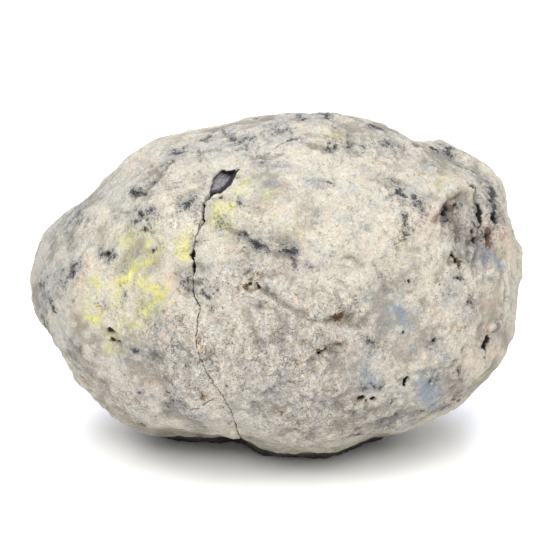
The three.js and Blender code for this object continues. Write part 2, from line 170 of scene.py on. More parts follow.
FOLDS = [
    # left shoulder
    (0.5, 0.6, [-25.5, 16.5], [-23, 17], [-21.5, 19], [-20.5, 20.5], [-18, 22.5]),
    (0.5, 0.3, [-25.5, 23], [-22, 22], [-20, 20]), (0.4, 0.3, [-29, 14], [-26.5, 13.5], [-24.5, 14]),
    # along the top
    (0.4, 0.25, [-12.5, 24.5], [-11, 24.5], [-9.5, 25], [-8.5, 25.5]),
    (0.4, 0.35, [-9, 27.5], [-7, 26.5], [-4.5, 23.5], [-2, 23]),
    (0.4, 0.35, [5.5, 25.5], [7.5, 25], [9.5, 24.5], [10, 25]), (0.4, 0.5, [24, 26.5], [25, 26], [26, 26]),
    # over the dark band
    (0.5, 0.35, [-9.5, 11.5], [-7.5, 10], [-6, 9.5], [-4.5, 8.5], [-2.5, 7.5]),
    (0.6, 0.4, [-2.5, 7.5], [-1.5, 7], [0, 6], [2, 6]),
    # the middle
    (0.3, 0.3, [-5.5, 3], [-4.5, 3.5], [-3, 2.5], [-1.5, 0.5]),
    (0.4, 0.35, [-5, 0.5], [-3.5, 0.5], [-1, 0]), (0.6, 0.4, [-0.5, -0.5], [1.5, -2], [3.5, -3.5], [5, -4]),
    (0.5, 0.5, [6, -5], [8, -5], [9.5, -4.5], [11, -4.5], [12.5, -4]),
    # low in the middle
    (0.5, 0.5, [5.5, -12], [6.5, -11], [7.5, -10.5], [9, -9.5], [11, -9]),
    (0.5, 0.4, [-2.5, -18], [-1, -16.5], [0, -16], [2, -15.5], [4, -15.5], [5.5, -14.5]),
    (0.4, 0.35, [-9.5, -18], [-7, -17.5]),
    # low on the right, from the crescent outwards
    (0.4, 0.2, [22.5, -15], [23.5, -14], [25.5, -14], [28, -13.5], [31, -13]),
    (0.4, 0.3, [28, -12.5], [29.5, -12.5], [31.5, -12]),
    # the left side
    (0.4, 0.4, [-36.5, -9], [-35, -10.5]), (0.5, 0.3, [-31, -15.5], [-30, -17.5], [-29, -20]),
    (0.4, 0.25, [-27, -14], [-26.5, -15.5], [-25.5, -16.5]), (0.3, 0.3, [-20.5, 9], [-20, 8], [-19, 8]),
    (0.4, 0.35, [-16, 2], [-14.5, 1.5], [-13, 1.5]),
    # the right side
    (0.4, 0.3, [32.5, -2.5], [33.5, -1.5], [34.5, -2.5]), (0.4, 0.4, [39.5, -6.5], [37.5, -7.5], [37, -8]),
    (0.5, 0.3, [40, 3.5], [40.5, 0], [40, -2.5]), (0.5, 0.3, [41, 8], [40.5, 9], [39.5, 9.5]),
    (0.5, 0.3, [17.5, 5], [18, 2.5], [18.5, 0]), (0.5, 0.3, [26.5, 15], [27.5, 13.5], [27, 12]),
    # the broken edge of the right cheek
    (0.8, 0.8, [27.5, 12], [28.7, 14], [30.5, 16], [32.5, 17]),
    (0.7, 0.6, [35.3, 17], [35.5, 13], [34.8, 9], [34.4, 5]),
    (0.6, 0.5, [38.8, 14], [38.5, 11.5], [37.5, 9.5]),
    # others, one by one
    (0.4, 0.3, [10.5, 5.5], [12.5, 6], [14, 5]), (0.5, 0.3, [14, -17], [15.5, -17], [17.5, -16.5]),
    (0.4, 0.3, [-21.5, -10.5], [-20.5, -11.5], [-19, -13]),
    (0.4, 0.3, [-12, -11.5], [-10.5, -10.5], [-9.5, -10]), (0.4, 0.3, [4, -17.5], [6, -19], [7, -20.5]),
    (0.4, 0.3, [30, -21], [31.5, -20.5]),
]

# ---- Stains on the front, and a few painted shadows: strokes of (radius, strength, [right, up], ...); one stop makes a spot ----

STAINS = {
    # grey and black mineral smudges, and painted shadows under some folds and ledges
    "dark": [
        # left shoulder; its first stroke is a painted shadow under the lip of a fold
        (0.5, 1, [-25, 17], [-23, 17], [-21.5, 19]), (0.6, 0.6, [-21, 21], [-19.5, 22], [-18, 22.5]),
        (0.5, 1, [-18.5, 24.5], [-18, 24], [-16.5, 24]), (0.4, 0.8, [-16, 25.5], [-16, 25]),
        (0.5, 0.8, [-13.5, 24], [-13, 23]), (0.5, 0.7, [-11.5, 28.5], [-11.5, 27], [-13, 26.5]),
        (0.8, 1, [-14.5, 15.5], [-15.5, 14.5]), (0.6, 0.5, [-17.5, 18], [-16, 18]),
        (0.4, 0.5, [-18, 17], [-17, 15.5]), (0.6, 0.9, [-24.5, 12], [-23.5, 13.5], [-22.5, 13.5]),
        (0.6, 0.9, [-21.5, 14], [-20.5, 13]), (0.5, 0.8, [-22, 12], [-21.5, 10.5], [-23, 10.5]),
        (0.5, 0.5, [-28, 12.5]), (0.8, 0.7, [-35.5, 14], [-35, 12]), (0.6, 0.6, [-33.5, 12], [-33.5, 11]),
        (1, 0.4, [-37.5, 11.5], [-36.5, 8]),
        # along the top; the stroke from [9, 25] to [10, 25] is a painted shadow at the edge of a fold
        (0.5, 0.9, [-9, 28], [-7.5, 26.5]), (0.8, 0.8, [-6.5, 26], [-3.5, 26.5]),
        (0.4, 0.8, [-4.5, 25.5], [-5, 25]), (0.7, 0.5, [-4, 31], [-1, 30.5]),
        (0.6, 0.9, [-1, 29], [0.5, 29]), (0.6, 1, [-0.5, 27.5], [1, 28]), (0.5, 0.8, [2, 26], [3.5, 26]),
        (0.5, 0.7, [-4, 23], [-2.5, 22.5]), (0.4, 0.8, [-1, 23], [0.5, 23]), (0.8, 0.9, [3.5, 31], [4, 30]),
        (0.9, 1, [8, 31.5], [9, 30]), (0.5, 0.8, [9.5, 29.5], [10, 29]), (0.5, 0.8, [8.5, 26.5], [9, 26]),
        (0.5, 0.8, [9, 25], [10, 25]), (0.7, 0.8, [12.5, 25.5], [15, 25]), (0.5, 0.6, [12, 27], [13, 27.5]),
        (0.7, 0.7, [16, 29], [19, 28.5]), (0.6, 0.8, [18, 26], [19, 25.5], [21, 25.5]),
        (0.5, 0.9, [27.5, 26], [28.5, 25]), (0.7, 0.9, [30.5, 26], [31, 24.5]),
        (0.8, 0.5, [27, 22.5], [29, 21.5]), (0.5, 0.8, [33.5, 22.5], [35.5, 21]),
        # right cheek
        (1, 1, [21, 17.5], [22, 16.5]), (0.5, 0.8, [20.5, 16], [21, 15.5]),
        (1, 0.9, [23.5, 15.5], [24.5, 14]), (0.5, 1, [21.5, 13], [21.5, 11]),
        (0.5, 0.9, [22, 10], [21.5, 9]), (0.5, 0.6, [19.5, 9], [20, 8]),
        (1.2, 0.9, [38.5, 18], [38, 15], [38.5, 13]), (0.6, 1.3, [38.5, 15.5], [38.5, 12.5]),
        (0.4, 0.8, [37.5, 15], [37.5, 14]), (0.4, 0.8, [32, 16], [32.5, 15]),
        (0.5, 1.2, [29, 13], [29.5, 13.8]), (0.6, 0.7, [34.8, 13], [34.6, 9]),
        (0.6, 0.8, [35.5, 12], [36, 10.5]), (0.4, 0.8, [31.5, 14.5], [32.5, 14.5]),
        (0.4, 0.8, [34, 12], [35, 10]), (0.4, 0.9, [34.5, 8.5]),
        # the band below the mouth, and the middle; the four strokes along the band, from [-7.5, 10] to [2.5,
        # 6.8], are a painted shadow under its overhanging ledge
        (0.5, 0.8, [-9, 12], [-9.5, 10.5]), (0.3, 0.8, [-10, 15.5], [-7.5, 15.3]),
        (0.45, 1, [-6.6, 15.4], [-6.2, 15]), (0.35, 1, [-13.7, 8.4]), (0.35, 0.8, [-13.4, 4.6]),
        (0.35, 0.9, [-7.5, 10], [-6.5, 9.5]), (0.35, 1, [-5.5, 9], [-4, 8.5]),
        (0.5, 1.4, [-3.5, 8], [-2, 7.5]), (0.5, 1.5, [0.3, 7.2], [2.5, 6.8]),
        (0.35, 1, [2.5, 5.5], [3.3, 4.2]), (0.5, 0.5, [-2.5, 10], [0, 9]),
        (0.5, 0.9, [-16.5, 1.5], [-13.5, 1.5]), (0.6, 0.6, [-16, 1], [-14.5, 0.5]),
        (0.4, 0.7, [-16.5, 3.5]), (1, 0.6, [-11, 0.5], [-10, -1]), (0.4, 0.9, [-12, -1], [-11, -1.5]),
        (0.5, 0.8, [5, 4], [6, 4]), (0.4, 0.6, [6.5, 11.5], [7, 12]), (0.4, 0.8, [7, 18.5], [8.5, 18]),
        (0.4, 0.6, [10, 5.5]), (0.4, 0.7, [-5.5, 3], [-4.5, 4]), (0.4, 0.6, [-2.5, 1.5], [-1.5, 0.5]),
        (0.5, 0.6, [-11.5, -3]), (0.5, 0.6, [14, -1], [13.5, 0]), (0.8, 0.4, [17.5, 6], [17.5, 4], [18, 1]),
        (0.4, 0.8, [22.5, 1.5]), (0.5, 0.6, [30, 1], [30, -1]), (0.4, 0.8, [30.5, 2], [32, 2]),
        (0.6, 0.5, [32.5, -1], [34, -2]),
        # left end
        (0.9, 1.2, [-35.6, 3.4]), (0.9, 0.6, [-38, 3.5], [-37, 1.5]), (0.5, 1.1, [-30.5, 7], [-28.5, 5.5]),
        (0.4, 0.6, [-28.5, 7.5], [-29.5, 6.5]), (0.4, 0.9, [-26.5, 4]), (0.4, 1.1, [-21, 7]),
        (0.8, 0.7, [-42.5, 1.5], [-41, 0.5]), (0.7, 0.8, [-40.5, -1.2], [-39.5, -2.8]),
        (0.9, 0.7, [-42, -4], [-41.5, -6.5]), (0.6, 0.4, [-40.5, 9], [-40, 7]), (0.4, 0.9, [-25.5, -0.5]),
        # low on the left
        (1.2, 0.45, [-20.5, -4.5], [-18.5, -6.5]), (0.5, 0.8, [-20.5, -6], [-19.5, -6.5]),
        (0.4, 1, [-24, -10.5]), (0.5, 0.8, [-21, -10.5], [-20.5, -11]),
        (0.5, 0.8, [-17, -12.5], [-15.5, -12.5]), (0.4, 0.6, [-16, -11.5], [-14.5, -12]),
        (0.4, 0.9, [-19, -15]), (0.4, 0.8, [-20.5, -16]), (0.4, 0.7, [-25.5, -15]),
        (0.4, 1, [-23.5, -17.5], [-23, -18]), (0.4, 0.9, [-19, -17.5]),
        (0.5, 0.8, [-17, -19], [-17, -19.5]), (0.5, 0.9, [-19, -20.5], [-18, -19]),
        (0.5, 0.7, [-15.5, -21.5], [-14, -21.5]), (0.8, 0.5, [-5, -13.5], [-4, -13.5]),
        (0.8, 0.45, [0, -14], [0.5, -15]),
        # low on the right
        (0.9, 0.6, [15.5, -8.5], [17, -9.5]), (0.5, 0.6, [10, -10.5]),
        (0.4, 0.7, [-1, -16.5], [-0.5, -15.5]), (0.5, 0.8, [14.5, -16.5], [17.5, -16.5]),
        (0.6, 0.8, [19.5, -19.5], [20, -18.5]), (0.5, 0.9, [19, -23], [20, -22.5]),
        (0.5, 0.9, [18.5, -23.5], [19.5, -24]), (0.5, 0.7, [15, -22], [16, -22.5]),
        (0.5, 1.1, [12.5, -25.5], [14, -25.5]), (0.5, 0.7, [15, -26], [19, -25.5]),
        (0.5, 0.9, [26.5, -15.5], [27.5, -15.5]), (0.7, 0.8, [28.5, -21], [31, -20.5]),
        (0.5, 0.6, [22.5, -21], [24, -22.5]), (0.5, 0.6, [31.5, -18], [33, -18.5]),
        (0.5, 0.7, [31.5, -14], [32, -15.5]), (0.4, 1, [26.5, -9], [27.5, -8.5]),
        (0.6, 0.7, [38.5, -7], [39.5, -6]), (0.4, 0.9, [6.5, -24.5]), (0.4, 0.8, [9, -14.5]),
    ],
    # lemon yellow
    "yellow": [
        (1.8, 0.5, [-26.5, 8.5], [-24.5, 9.5]), (1.2, 0.7, [-22.5, 10], [-22, 8]),
        (0.7, 1, [-21.5, 6], [-20.5, 6.5]), (0.8, 0.9, [-22.5, 5], [-24.5, 4]),
        (1, 1.1, [-25, 3.5], [-26.5, 1.5]), (0.8, 1.2, [-23, 1.5], [-20, 0]),
        (0.8, 1.2, [-19.5, -1], [-20.5, -2]), (0.7, 1.2, [-21, -2], [-22.5, -3.5]),
        (0.6, 1.1, [-27, 0.5], [-27.5, -2]), (0.8, 0.9, [-32, 1], [-30.5, 1.5]),
        (0.6, 0.8, [-33, -2], [-32, -2.5]), (0.7, 1.2, [-33, -4.5], [-31, -4.5]),
        (0.8, 0.9, [-26, -5.5], [-24.5, -6]), (0.9, 0.6, [-27, -7]), (0.5, 0.7, [-29, -8.5], [-29, -10.5]),
        (1.6, 0.35, [-24.5, -1.5], [-26, -0.5]), (0.6, 1, [-15, 9.5], [-15.5, 8]),
        (0.6, 1.3, [-16, 7.5], [-16, 5.5]), (0.8, 1.2, [-9.5, 14.5], [-10, 13]),
        (0.8, 0.9, [-8, 14.5], [-8, 13.5]), (0.5, 1.1, [-8.5, 11.5], [-8.5, 10]),
        (1, 0.6, [-6, 18.5], [-6.5, 16.5]), (0.7, 0.5, [-2, 16]), (0.7, 0.4, [0, 13]),
        (0.9, 0.35, [2, 10.5], [5, 10]), (0.8, 0.6, [8, 27], [10.5, 27]), (0.6, 0.7, [21, 9.5], [21, 8.5]),
        (0.5, 0.6, [36, -16], [37, -15.5]), (0.7, 0.5, [28.5, 18.5], [30, 21.5]),
        (0.7, 0.5, [39.5, 7], [40, 6.5]),
    ],
    # pale slate blue
    "blue": [
        (1.3, 0.8, [21, -3.5], [21.5, -5]), (1, 1.4, [26, -16.5], [26.5, -17.5]),
        (0.9, 0.8, [26.5, -18.5], [27.5, -20]), (1.4, 0.7, [15.5, -14], [16, -16]),
        (0.9, 0.5, [23, -10], [24, -10.5]), (0.9, 0.5, [27.5, -10.5], [29.5, -11.5]),
        (0.9, 0.9, [36, 8], [37.5, 8]), (0.6, 1, [36, 5.5], [37.5, 6.5]), (0.6, 1, [38.5, 6], [39.5, 4.5]),
        (0.9, 0.4, [16, -0.5], [16, -1.5]), (1, 0.5, [16, 14.5]), (1, 0.5, [5.5, 18.5]),
        (0.9, 0.5, [0, 21.5], [2, 21.5]), (1.4, 0.4, [-4.5, 24], [-2.5, 24.5]),
        (0.7, 0.6, [20.5, -24], [23.5, -23.5]),
    ],
    "lilac": [
        (0.8, 1, [4.5, 4.5], [5.5, 4.5]), (0.7, 0.8, [-7.5, 12.5], [-6.5, 12]),
        (0.7, 1, [-11, 14.5], [-10.5, 14.5]), (0.5, 1.1, [-11.6, 14.2], [-11.5, 12.8]),
        (0.7, 0.6, [-21.5, 4]), (0.9, 0.5, [22.5, 23.5], [25, 23.5]),
        (0.9, 0.5, [-5, -12.5], [-4.5, -13.5]), (0.7, 0.6, [30.5, -1.5], [30, 0]),
        (0.9, 0.5, [33.5, -5.5], [32.5, -4.5]), (0.9, 0.4, [27, 22], [28.5, 21]),
    ],
    # brown and orange iron marks
    "rust": [
        (0.6, 1.1, [-4.5, 1], [-3.5, 1]), (0.4, 0.9, [-4.5, 2], [-3, 2]), (0.4, 0.8, [-3, 3], [-2.5, 2]),
        (0.4, 0.8, [-13.5, 0], [-12.5, -0.5]), (0.5, 0.9, [9.5, -4.5], [11, -4]), (0.4, 0.8, [10.5, -3]),
        (0.4, 0.6, [8, -5], [9, -4.5]), (0.5, 1, [7.5, -10], [8.5, -9.5]),
        (0.4, 0.8, [9.5, -9.5], [11, -9]), (0.7, 1.3, [29.5, 14], [31, 14.8]),
        (0.8, 1.3, [37.2, 10.2], [37.2, 9]), (0.8, 0.7, [36.2, 8.8], [38, 8.3]), (0.5, 0.9, [34.5, 11]),
        (0.3, 0.8, [29.5, 11]), (0.4, 1, [35, 14.5], [35.5, 13]), (0.4, 0.9, [28.5, 4.5]),
        (0.4, 0.6, [28, 1.5], [29, 1]), (0.6, 1.1, [31, -7]), (0.6, 0.8, [36.5, -7]),
        (0.6, 1, [-13, -17], [-12.5, -18]), (0.6, 0.9, [-13, -9], [-13, -9.5]),
        (0.5, 0.5, [-14, -10], [-13.5, -11]), (0.5, 0.8, [-14.5, -18]), (0.7, 0.7, [-9, -16], [-8, -16.5]),
        (0.4, 0.6, [-7, -18], [-6.5, -18]), (0.5, 0.9, [1, -21]), (0.9, 0.4, [-0.5, -21]),
        (0.4, 0.6, [5, -15]), (0.4, 0.6, [3, -8.5]), (0.9, 0.5, [13, -19], [15.5, -19]),
        (0.5, 1, [31, -19.5], [33.5, -19.5]), (0.5, 0.9, [27.5, -21]), (0.4, 0.7, [24.5, -21], [25.5, -21]),
        (0.7, 0.5, [33.5, -18], [34.5, -17.5]), (0.4, 0.6, [2, 19.5]),
        (0.9, 0.4, [10.5, 23.5], [12.5, 23.5]), (0.4, 0.5, [15.5, 4]),
        (0.4, 0.7, [-30.5, -2.5], [-30, -5], [-30.5, -7]), (0.5, 0.6, [-15, 10], [-14, 10.5]),
        (0.7, 0.5, [-35.5, -11.5], [-34.5, -15], [-33.5, -18]), (0.5, 0.5, [40, -2.5], [40.5, 0]),
    ],
    # pink and peach tints
    "peach": [
        (0.9, 0.8, [-18.5, 2.5], [-18, 0]), (0.9, 0.7, [-32.5, 4.5], [-34.5, 1]),
        (0.9, 0.6, [-34.5, -1.5], [-35, -4]), (1.2, 1, [26, 13], [27, 12.5]),
        (1.4, 1, [39.5, 10.5], [41, 8.5]), (0.9, 0.9, [36.2, 8.5], [37, 7.5]),
        (1, 0.5, [31.5, 20], [32.5, 19]), (1, 0.5, [-22, -15], [-19, -17.5]),
        (1, 0.4, [-18, 19], [-19, 17.5]), (1, 0.4, [-26, 21.5], [-22.5, 23.5]), (0.9, 0.5, [-14.5, -7.5]),
        (0.9, 0.5, [3.5, 29], [4.5, 28.5]), (1.2, 0.4, [37, -2.5], [39, -2]),
        (1, 0.4, [11.5, -10], [12.5, -10.5]), (1, 0.5, [38, -11], [39.5, -11.5]),
        (1.4, 0.4, [33.5, -12], [35.5, -13]),
    ],
    "moss": [
        (0.28, 1.3, [29.8, 6.6], [31.3, 5.4]), (0.2, 1.1, [31.2, 5.2], [31.8, 3.8]),
        (0.5, 0.6, [36.5, -16]),
    ],
}

# Zones of the rind, [right, up, radius, strength]: rough and mottled, dirty, or veiled in cool grey
ZONES = {
    "granular": [
        [-16, -13, 12, 1], [2, -12, 13, 1], [6, -22, 12, 1], [-4, 1, 7, 0.9], [-26, -20, 9, 0.8],
        [11, -4, 7, 0.8], [33, 9, 6, 0.9], [30, -20, 7, 0.7], [18, -24, 7, 0.8], [30, -4, 7, 0.5],
    ],
    "dirty": [
        [33, 10, 6, 1], [30, 14, 3.5, 0.9], [38, 15, 3.5, 0.8], [36, -8, 3.5, 0.7], [28, -19, 6, 0.7],
        [18, -22, 5, 0.6], [10, -10, 5, 0.5], [11, -4, 4, 0.5], [-35, -13, 6, 0.6], [0, -28, 9, 0.5],
    ],
    "cool": [
        [-41, 3, 10, 1], [-38, 13, 10, 1], [-38, -9, 7, 0.9], [-27, 18, 9, 0.7], [-12, 24, 10, 0.6],
        [2, 29, 8, 0.5], [20, 28, 8, 0.3], [36, 21, 6, 0.4], [33, 8, 5, 0.6], [-22, -12, 9, 0.5],
        [-6, -22, 10, 0.5],
    ],
}

# The back: (layer, number of spots, their radii, seed), and (layer, strength, size of its lumps, seed)
BACK_STARTS = -4  # how far in front of the girdle
BACK_SPOTS = [("dark", 64, (0.7, 2.6), 3), ("yellow", 7, (1.0, 2.2), 4)]
BACK_ZONES = [("granular", 0.5, 14, 30), ("cool", 0.45, 17, 33)]

# ---- Colours, as the eye sees them in plain light, from 0 to 255 ----

PALETTE = {
    "cream": (188, 180, 161),
    "chalk": (210, 204, 188),
    "veil": (157, 157, 149),
    "lilac": (155, 148, 150),
    "peach": (200, 173, 152),
    # the dust colour is the rind's darkest grey, and also serves as painted shade in the hollows
    "dust_and_shade": (128, 123, 115),
    "dirt": (108, 97, 84),
    # the wash and smudge colours mark the dark stains, some of which are painted shadows
    "wash_and_shadow": (104, 105, 104),
    "smudge_and_shadow": (32, 32, 36),
    # the speck colour marks dark flecks, and also serves as painted shade at the edges of the cracks
    "speck_and_shade": (58, 50, 42),
    "yellow": (200, 194, 104),
    "blue": (114, 126, 138),
    "rust": (66, 46, 26),
    "orange": (160, 122, 82),
    "moss": (62, 64, 18),
    "slate": (122, 117, 120),
    # the hole colour is painted shade: the underside near the ground, the mouth's rim and the insides of pits
    # and cracks
    "hole_shade": (14, 11, 9),
}


# ---- Points and triangles ----


def lengths(vectors):
    return np.linalg.norm(vectors, axis=-1)


def smoothstep(low, high, value):
    share = np.clip((value - low) / (high - low), 0, 1)
    return share * share * (3 - 2 * share)


def stone_of(node):
    """Points in millimetres about the stone's middle, and triangles, of a CAD node."""
    mesh = node.data
    mesh.calc_loop_triangles()
    places = np.empty(3 * len(mesh.vertices))
    mesh.vertices.foreach_get("co", places)
    faces = np.empty(3 * len(mesh.loop_triangles), np.int32)
    mesh.loop_triangles.foreach_get("vertices", faces)
    points = places.reshape(-1, 3) / MM - MIDDLE
    _, first, which = np.unique(points.round(3), axis=0, return_index=True, return_inverse=True)
    return points[first], which.reshape(-1)[faces].reshape(-1, 3)


def sums(count, index, values):
    """The sum of the values that belong to each of so many points."""
    return np.stack([np.bincount(index, values[:, axis], count) for axis in range(3)], axis=1)


def normals_of(points, faces):
    a, b, c = (points[faces[:, corner]] for corner in range(3))
    facing = np.cross(b - a, c - a)
    total = sum(sums(len(points), faces[:, corner], facing) for corner in range(3))
    return total / np.maximum(lengths(total), 1e-9)[:, None]


def edges_of(faces):
    """Each edge once, and the numbers of each face's three edges: ab, bc and ca."""
    pairs = np.sort(faces[:, [0, 1, 1, 2, 2, 0]].reshape(-1, 2), axis=1).astype(np.int64)
    count = int(faces.max()) + 1
    keys, which = np.unique(pairs[:, 0] * count + pairs[:, 1], return_inverse=True)
    return np.stack([keys // count, keys % count], axis=1), which.reshape(-1, 3)


def towards_neighbours(points, edges):
    """How far each point is from the mean of its neighbours."""
    ends = np.concatenate([edges, edges[:, ::-1]])
    count = np.bincount(ends[:, 0], minlength=len(points))[:, None]
    return sums(len(points), ends[:, 0], points[ends[:, 1]]) / count - points


def smoothed(points, faces, rounds):
    """Evens out bumps about as wide as the triangles, and keeps the size."""
    edges, _ = edges_of(faces)
    for _ in range(rounds):
        for step in (0.5, -0.53):
            points = points + step * towards_neighbours(points, edges)
    return points


def filled(points, faces, chosen, rounds=300):
    """Draws the chosen points into a taut skin across the rest."""
    edges, _ = edges_of(faces)
    for _ in range(rounds):
        points = points + np.where(chosen[:, None], towards_neighbours(points, edges), 0)
    return points


def curved_middles(points, normals, edges):
    """The middles of edges, pushed out to the curve that the ends' normals ask for."""
    ends = [(points[edges[:, side]], normals[edges[:, side]]) for side in (0, 1)]
    middle = (ends[0][0] + ends[1][0]) / 2
    rise = sum(((middle - at) * normal).sum(axis=1, keepdims=True) * normal for at, normal in ends)
    return middle - rise / 4


def turned(rows, first):
    """Each row of three, turned so that its first number comes from the given column."""
    return np.take_along_axis(rows, (first[:, None] + np.arange(3)) % 3, axis=1)


def cut_faces(faces, middles, points):
    """Each face as one to four faces. middles has a point for each edge that is cut, or -1."""
    cuts = (middles >= 0).sum(axis=1)
    a, b, c = faces[cuts == 3].T
    ab, bc, ca = middles[cuts == 3].T
    parts = [faces[cuts == 0].T, (a, ab, ca), (ab, b, bc), (ca, bc, c), (ab, bc, ca)]

    cut_edge = (middles[cuts == 1] >= 0).argmax(axis=1)
    a, b, c = turned(faces[cuts == 1], cut_edge).T
    ab = turned(middles[cuts == 1], cut_edge)[:, 0]
    parts += [(a, ab, c), (ab, b, c)]

    after_whole_edge = (middles[cuts == 2] < 0).argmax(axis=1) + 1
    a, b, c = turned(faces[cuts == 2], after_whole_edge).T
    ab, bc, _ = turned(middles[cuts == 2], after_whole_edge).T
    from_a = lengths(points[a] - points[bc]) < lengths(points[ab] - points[c])
    parts += [
        (ab, b, bc),
        (a, np.where(from_a, bc, ab), c),
        (np.where(from_a, a, ab), np.where(from_a, ab, bc), np.where(from_a, bc, c)),
    ]
    return np.concatenate([np.stack(list(part), axis=1) for part in parts])


def refined(points, faces, edge_limit):
    """Halves long edges until each is as short as its place asks."""
    for _ in range(MOST_ROUNDS):
        edges, of_face = edges_of(faces)
        start, end = points[edges[:, 0]], points[edges[:, 1]]
        size = lengths(end - start)
        long = size > edge_limit((start + end) / 2)
        if not long.any():
            break
        for _ in range(2):  # a face that is cut at all is cut at its longest edge too
            cut = of_face[long[of_face].any(axis=1)]
            long[np.take_along_axis(cut, size[cut].argmax(axis=1)[:, None], axis=1)] = True
        middles = curved_middles(points, normals_of(points, faces), edges[long])
        number = np.full(len(edges), -1)
        number[long] = len(points) + np.arange(len(middles))
        points = np.concatenate([points, middles])
        faces = cut_faces(faces, number[of_face], points)
    return points, faces


# ---- Repeatable noise ----

chance = np.random.default_rng(7)
SLOPES = chance.normal(size=(256, 3))
SLOPES /= lengths(SLOPES)[:, None]
SHUFFLE = chance.permutation(256)


def noise(points, size, seed=0):
    """Smooth noise, about -1 to 1, with lumps of that size in millimetres."""
    place = points / size + 17.3 * seed
    cell = np.floor(place).astype(np.int64)
    inside = place - cell
    ease = inside**3 * (inside * (inside * 6 - 15) + 10)
    total = np.zeros(len(points))
    for corner in itertools.product((0, 1), repeat=3):
        i, j, k = ((cell + corner) % 256).T
        slope = SLOPES[SHUFFLE[(SHUFFLE[(SHUFFLE[i] + j) % 256] + k) % 256]]
        weight = np.where(corner, ease, 1 - ease).prod(axis=1)
        total += weight * ((inside - corner) * slope).sum(axis=1)
    return 1.6 * total


def billow(points, size, seed):
    """Rounded crumbs of that size with sharp valleys between them, from about -0.3 to 0.7."""
    return np.abs(noise(points, size, seed)) - 0.3


def nudged(points, reach, size, seed):
    """Points moved about by noise, which makes the outlines of round spots irregular."""
    shift = np.stack([noise(points, size, seed + axis) for axis in range(3)], axis=1)
    return points + reach * shift


def nudged_flat(places, points):
    """[right, up] places moved a little by noise, for a ragged outline."""
    shift = np.stack([noise(points, 0.9, 60), noise(points, 0.9, 61)], axis=1)
    return places + 0.16 * shift


# ---- Places and lines on the surface ----


def across(points):
    """[right, up] of points, and how far each is in front of the girdle."""
    return np.stack([points @ RIGHT, points @ UP], axis=1), points @ FORWARD


class Surface:
    """The stone's skin, for laying places on it."""

    def __init__(self, points, faces):
        self.tree = BVHTree.FromPolygons(points.tolist(), faces.tolist())

    def along(self, start, direction):
        hit, _, _, _ = self.tree.ray_cast(Vector(start), Vector(direction))
        return None if hit is None else np.array(hit)

    def place(self, right, up):
        """The place on the front at so far right and so far up, or on the rim beyond it."""
        aside = right * RIGHT + up * UP
        found = self.along(aside + OUTSIDE * FORWARD, -FORWARD)
        if found is None:
            found = self.along(aside * OUTSIDE / lengths(aside), -aside)
        return found

    def sown(self, count, seed):
        """Places scattered over the whole stone."""
        directions = np.random.default_rng(seed).normal(size=(count, 3))
        return np.array([self.along(OUTSIDE * d / lengths(d), -d) for d in directions])


LINE_STEP = 0.25
LINE_WANDER = 0.16


def line_on(surface, stops):
    """Points along a line of stops laid on the surface, and each one's half width and depth."""
    stops = np.array(stops, float)
    along = np.concatenate([[0], np.cumsum(lengths(np.diff(stops[:, :2], axis=0)))])
    steps = np.linspace(0, along[-1], max(3, round(along[-1] / LINE_STEP)))
    values = np.stack([np.interp(steps, along, column) for column in stops.T], axis=1)
    points = np.array([surface.place(right, up) for right, up in values[:, :2]])
    wander = nudged(nudged(points, LINE_WANDER, 0.9, 3), 0.6 * LINE_WANDER, 0.45, 6)
    return wander, values[:, 2:]


def nearest_on_line(points, line, values):
    """How far points are from a line, and the line's values at the nearest place."""
    best = np.full(len(points), np.inf)
    found = np.zeros((len(points), values.shape[1]))
    for n in range(len(line) - 1):
        step = line[n + 1] - line[n]
        offset = points - line[n]
        share = np.clip(offset @ step / max(step @ step, 1e-9), 0, 1)
        distance = lengths(offset - share[:, None] * step)
        closer = distance < best
        best[closer] = distance[closer]
        found[closer] = values[n] + share[closer, None] * (values[n + 1] - values[n])
    return best, found


def close_to(points, line, margin):
    """Which points are in the box round a line, widened by a margin."""
    return ((points > line.min(axis=0) - margin) & (points < line.max(axis=0) + margin)).all(axis=1)


def depth_in_outline(places, outline):
    """How far places are inside an outline, and below zero outside it."""
    corners = np.array(outline)
    distance = np.full(len(places), np.inf)
    inside = np.zeros(len(places), bool)
    for start, end in zip(corners, np.roll(corners, -1, axis=0)):
        step = end - start
        offset = places - start
        share = np.clip(offset @ step / (step @ step), 0, 1)
        distance = np.minimum(distance, lengths(offset - share[:, None] * step))
        crosses = (start[1] > places[:, 1]) != (end[1] > places[:, 1])
        rise = step[1] if step[1] else 1.0
        inside ^= crosses & (offset[:, 0] < step[0] * offset[:, 1] / rise)
    return np.where(inside, distance, -distance)


# ---- The stone's mesh ----

GROOVE_REACH = 1.6  # the CAD solid's wide groove reaches this far from the crack's fine line
FINE_REACH = 1.8  # no place this far from a crack needs a finer mesh for it
CRACK_MARGIN = 0.1  # how far past a crack's edge its fine mesh goes


def away_from_great_crack(points):
    """How far places on the front are from the mouth and the great crack, seen flat."""
    places, front = across(points)
    distance = -depth_in_outline(places, MOUTH)
    for name in ("neck", "foot of the great crack"):
        stops = np.array(CRACKS[name], float)
        flat, _ = nearest_on_line(places, stops[:, :2], stops)
        distance = np.minimum(distance, flat)
    return np.where(front > 0, distance, np.inf)


def swelled(points, faces):
    """The points with the outline's swells and dips."""
    surface = Surface(points, faces)
    height = np.zeros(len(points))
    for right, up, radius, rise in SWELLS:
        far = lengths(points - surface.place(right, up)) / radius
        height += rise * np.exp(-far * far)
    return points + height[:, None] * normals_of(points, faces)


